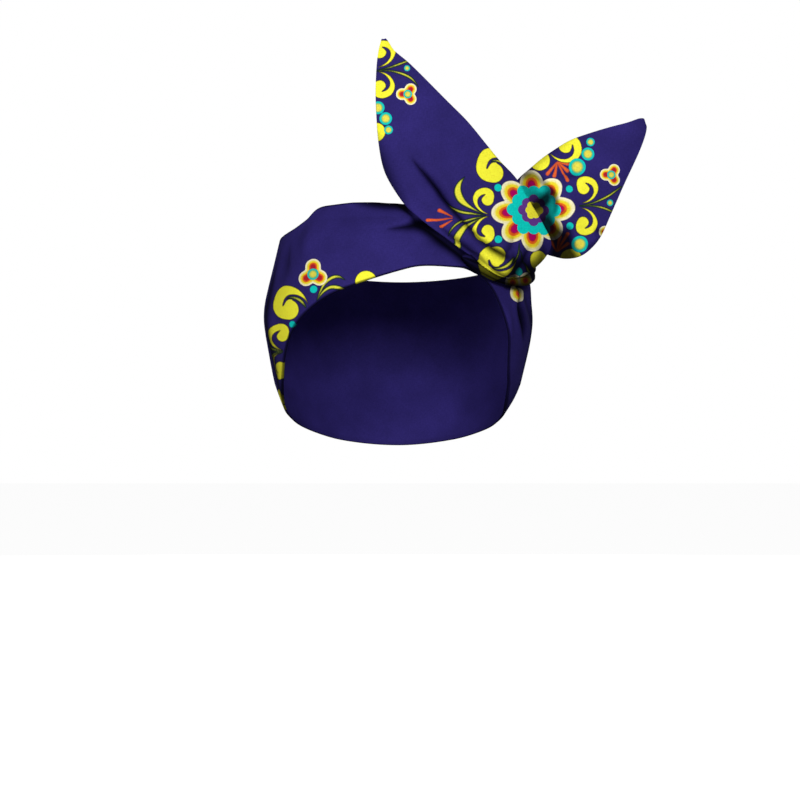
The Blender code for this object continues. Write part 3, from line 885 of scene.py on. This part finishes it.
NAVY = dyed(47, 39, 108)
LAYERS = {
    # depth, colour, cover
    "leaf": ((0.4, (20, 22, 40), 0), (0.47, (18, 28, 38), 0.9), (0.62, (30, 52, 38), 1),
             (0.74, (104, 118, 48), 1), (0.86, (206, 206, 66), 1), (0.97, (240, 234, 66), 1)),
    "sprig": ((0.46, (60, 30, 60), 0), (0.53, (170, 66, 48), 1), (0.8, (232, 100, 50), 1)),
    "scroll": ((0.36, (24, 20, 44), 0), (0.44, (26, 22, 42), 0.85), (0.52, (78, 70, 38), 1),
               (0.6, (188, 182, 46), 1), (0.72, (255, 250, 62), 1)),
    "petal": ((0.165, (30, 22, 60), 0), (0.185, (60, 44, 70), 0.9),
              (0.21, (232, 222, 186), 1), (0.24, (255, 249, 216), 1),
              (0.37, (249, 238, 158), 1), (0.43, (247, 230, 58), 1),
              (0.57, (245, 208, 40), 1), (0.6, (238, 118, 30), 1),
              (0.7, (228, 90, 34), 1), (0.74, (186, 38, 44), 1),
              (0.76, (178, 30, 50), 1), (0.79, (180, 6, 98), 1)),
    "ring": ((0.15, (6, 110, 120), 0), (0.17, (10, 176, 178), 1), (0.22, (13, 217, 202), 1),
             (0.48, (13, 210, 200), 1), (0.51, (104, 61, 145), 1), (0.82, (100, 56, 142), 1),
             (0.85, (250, 240, 60), 1)),
    "bead": ((0.13, (20, 40, 90), 0), (0.17, (12, 130, 150), 1), (0.25, (16, 206, 196), 1),
             (0.38, (18, 208, 196), 1), (0.5, (60, 184, 160), 1), (0.62, (140, 196, 116), 1),
             (0.78, (206, 210, 84), 1), (0.92, (236, 224, 84), 1)),
}
print("navy", [round(c, 3) for c in NAVY], len(LAYERS), "layers of print")

# %% [markdown]
# ## Three cottons from one recipe
# The front is printed and gets the full painted shade of its folds. The backs of the ears carry
# the same print, but a fold stands the other way round there, so they get only a quarter of that
# painted shade. The band is plain inside and gets the same quarter.

# %% Cotton material
DYE_SCALE = 55.0  # patches of dye to a metre
SLUB_LONG, SLUB_FINE = 500.0, 1700.0  # slubs to a metre, along a thread and across it
WEAVE_SCALE = 560.0
BUMP_HEIGHT = 0.0001
BACK_FOLD_SHADE = 0.25  # share of painted fold shade on the backs and the lining


def printed_cotton(name, layers, fold_shade_share):
    """Matt cotton with a fine weave and these print layers, and this share of painted fold shade.
    """
    made = bpy.data.materials.new(name)
    made.use_nodes = True
    nodes, links = made.node_tree.nodes, made.node_tree.links
    shader = nodes["Principled BSDF"]

    def add(kind, **values):
        node = nodes.new(kind)
        for key, value in values.items():
            setattr(node, key, value)
        return node

    def feed(sockets, values):
        for socket, value in zip(sockets, values):
            if isinstance(value, bpy.types.NodeSocket):
                links.new(value, socket)
            else:
                socket.default_value = value

    def mix(blend, factor, under, over):
        node = add("ShaderNodeMix", data_type="RGBA", blend_type=blend)
        feed((node.inputs[0], node.inputs[6], node.inputs[7]), (factor, under, over))
        return node.outputs[2]

    def sum_of(operation, *values):
        node = add("ShaderNodeMath", operation=operation)
        feed(node.inputs, values)
        return node.outputs[0]

    def ramp(factor, rows):
        node = add("ShaderNodeValToRGB")
        stops = node.color_ramp.elements
        while len(stops) < len(rows):
            stops.new(0.5)
        for stop, (place, colour, cover) in zip(stops, rows):
            stop.position = place
            stop.color = (*colour, cover)
        links.new(factor, node.inputs["Fac"])
        return node

    def noise(coordinates, scale, detail, stretch=(1.0, 1.0, 1.0)):
        place = add("ShaderNodeMapping")
        place.inputs["Scale"].default_value = stretch
        links.new(coordinates, place.inputs["Vector"])
        node = add("ShaderNodeTexNoise")
        node.inputs["Scale"].default_value = scale
        node.inputs["Detail"].default_value = detail
        links.new(place.outputs["Vector"], node.inputs["Vector"])
        return node.outputs["Fac"]

    cloth = add("ShaderNodeUVMap", uv_map="cloth").outputs["UV"]
    solid = add("ShaderNodeTexCoord").outputs["Object"]
    dye = noise(solid, DYE_SCALE, 3.0)
    slub_across = noise(cloth, 1.0, 2.0, (SLUB_LONG, SLUB_FINE, 1.0))
    slub_up = noise(cloth, 1.0, 2.0, (SLUB_FINE, SLUB_LONG, 1.0))

    ground = ramp(dye, ((0.3, [0.86 * c for c in NAVY], 1.0),
                        (0.7, [1.12 * c for c in NAVY], 1.0)))
    colour = ground.outputs["Color"]
    for layer, rows in layers.items():
        depth = add("ShaderNodeAttribute", attribute_name=layer).outputs["Fac"]
        paint = ramp(depth, [(place, dyed(*ink), cover) for place, ink, cover in rows])
        colour = mix("MIX", paint.outputs["Alpha"], colour, paint.outputs["Color"])

    grain = sum_of("ADD", slub_across, slub_up)
    shade = ramp(sum_of("MULTIPLY", grain, 0.5), ((0.36, (0.92, 0.92, 0.93), 1.0),
                                                  (0.64, (1.18, 1.18, 1.17), 1.0)))
    colour = mix("MULTIPLY", 1.0, colour, shade.outputs["Color"])
    # Painted shade: the stored fold shade darkens the colour in folds, at hems and where the cloth
    # turns away from the lamps.
    fold_shade = add("ShaderNodeAttribute", attribute_name="fold_shade").outputs["Fac"]
    dark = ramp(fold_shade, ((0.03, (1.0, 1.0, 1.0), 1.0), (0.35, (0.36, 0.36, 0.39), 1.0),
                       (0.65, (0.12, 0.12, 0.14), 1.0), (0.95, (0.03, 0.03, 0.04), 1.0)))
    colour = mix("MULTIPLY", fold_shade_share, colour, dark.outputs["Color"])
    links.new(colour, shader.inputs["Base Color"])

    rough = ramp(dye, ((0.3, (0.78, 0.78, 0.78), 1.0), (0.7, (0.9, 0.9, 0.9), 1.0)))
    links.new(rough.outputs["Color"], shader.inputs["Roughness"])
    shader.inputs["Specular IOR Level"].default_value = 0.05

    threads = []
    for direction in ("X", "Y"):
        wave = add("ShaderNodeTexWave", wave_type="BANDS", bands_direction=direction)
        wave.inputs["Scale"].default_value = WEAVE_SCALE
        wave.inputs["Distortion"].default_value = 0.4
        links.new(cloth, wave.inputs["Vector"])
        threads.append(wave.outputs["Fac"])
    heights = sum_of("MULTIPLY_ADD", sum_of("MULTIPLY", *threads), 0.5, grain)
    bump = add("ShaderNodeBump")
    bump.inputs["Strength"].default_value = 0.35
    bump.inputs["Distance"].default_value = BUMP_HEIGHT
    links.new(heights, bump.inputs["Height"])
    links.new(bump.outputs["Normal"], shader.inputs["Normal"])
    return made


cotton = printed_cotton("printed_cotton", LAYERS, 1.0)
back_cotton = printed_cotton("printed_cotton_back", LAYERS, BACK_FOLD_SHADE)
lining = printed_cotton("plain_lining", {}, BACK_FOLD_SHADE)
print("nodes", [len(material.node_tree.nodes) for material in (cotton, back_cotton, lining)])

# %% [markdown]
# ## Putting the pieces in place
# Each piece takes the place of its plain CAD solid. The table also lists the flat size and area
# of each cloth, which nothing here reads. The strip was about 0.95 m by 0.1 m: 0.57 m goes round
# the head, and the ends make ears and twist.
# The band's grid faces outwards, so its first material is the outer one; the ears' grids face
# backwards, so theirs is the one of the back.

FACES = {"band": (cotton, lining), "ear": (back_cotton, cotton), "roll": (cotton,)}
for piece, kind, node, flat, area in (
        (band, "band", "head_band", (0.57, 0.10), 0.046),
        (long_ear, "ear", "long_ear", (0.18, 0.08), 0.009),
        (short_ear, "ear", "short_ear", (0.11, 0.065), 0.0048),
        (twist, "roll", "knot_wrap", (0.09, 0.045), 0.0021)):
    for material in FACES[kind]:
        piece.data.materials.append(material)
    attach(piece, "root")
    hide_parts(node)
    print(piece.name, "stands for", node)

# %% [markdown]
# ## Stage and light
# The photograph is lit flat from the front on white, and the cloth darkens where it turns away.
# A soft key lamp by the camera, a little to the right, does that, helped by painted shade on the
# band's sides, and a second lamp opens the viewer's left side. A lamp behind and a little light
# from all sides keep the other views readable. The floor is pale paper that glows only for the
# camera, so it meets the white behind it almost without a line and throws no light on the cloth.

# %% Stage
WHITE = (1, 1, 1, 1)
FLOOR_HALF, FLOOR_Z, FLOOR_GLOW = 6.0, -0.2, 0.93

bpy.context.scene.view_settings.view_transform = "Standard"

floor = new_object("floor", bpy.data.meshes.new("floor"))
bm = bmesh.new()
bmesh.ops.create_grid(bm, x_segments=1, y_segments=1, size=FLOOR_HALF)
bm.to_mesh(floor.data)
bm.free()
for vertex in floor.data.vertices:
    vertex.co.z = FLOOR_Z
paper = bpy.data.materials.new("floor_paper")
paper.use_nodes = True
sheet = paper.node_tree.nodes["Principled BSDF"]
sheet.inputs["Base Color"].default_value = (0.3, 0.3, 0.3, 1.0)
sheet.inputs["Roughness"].default_value = 0.9
sheet.inputs["Specular IOR Level"].default_value = 0.0
sheet.inputs["Emission Color"].default_value = WHITE
glow = paper.node_tree.nodes.new("ShaderNodeMath")
glow.operation = "MULTIPLY"
glow.inputs[1].default_value = FLOOR_GLOW
path = paper.node_tree.nodes.new("ShaderNodeLightPath")
paper.node_tree.links.new(path.outputs["Is Camera Ray"], glow.inputs[0])
paper.node_tree.links.new(glow.outputs[0], sheet.inputs["Emission Strength"])
floor.data.materials.append(paper)
print("floor at", FLOOR_Z)

# %% World and lamps
AMBIENT = 0.13
LAMP_AIM = Vector((0.02, 0.0, 0.08))
LAMPS = (
    # name, place, size, watts
    ("key", (0.35, -1.87, 0.5), 0.4, 20.5),
    ("left", (-1.1, -1.6, 0.2), 0.6, 12),
    ("back", (0, 2.3, 0.1), 0.6, 14),
)

world = bpy.data.worlds.new("studio")
world.use_nodes = True
tree = world.node_tree
around = tree.nodes["Background"]
around.inputs["Color"].default_value = WHITE
around.inputs["Strength"].default_value = AMBIENT
seen = tree.nodes.new("ShaderNodeBackground")
seen.inputs["Color"].default_value = WHITE
rays, either = tree.nodes.new("ShaderNodeLightPath"), tree.nodes.new("ShaderNodeMixShader")
tree.links.new(rays.outputs["Is Camera Ray"], either.inputs[0])
tree.links.new(around.outputs[0], either.inputs[1])
tree.links.new(seen.outputs[0], either.inputs[2])
tree.links.new(either.outputs[0], tree.nodes["World Output"].inputs["Surface"])
bpy.context.scene.world = world

for name, place, size, power in LAMPS:
    lamp = new_object(name, bpy.data.lights.new(name, "AREA"))
    lamp.data.size = size
    lamp.data.energy = power
    lamp.location = place
    lamp.rotation_euler = (LAMP_AIM - lamp.location).to_track_quat("-Z", "Y").to_euler()
print("lamps", len(LAMPS))
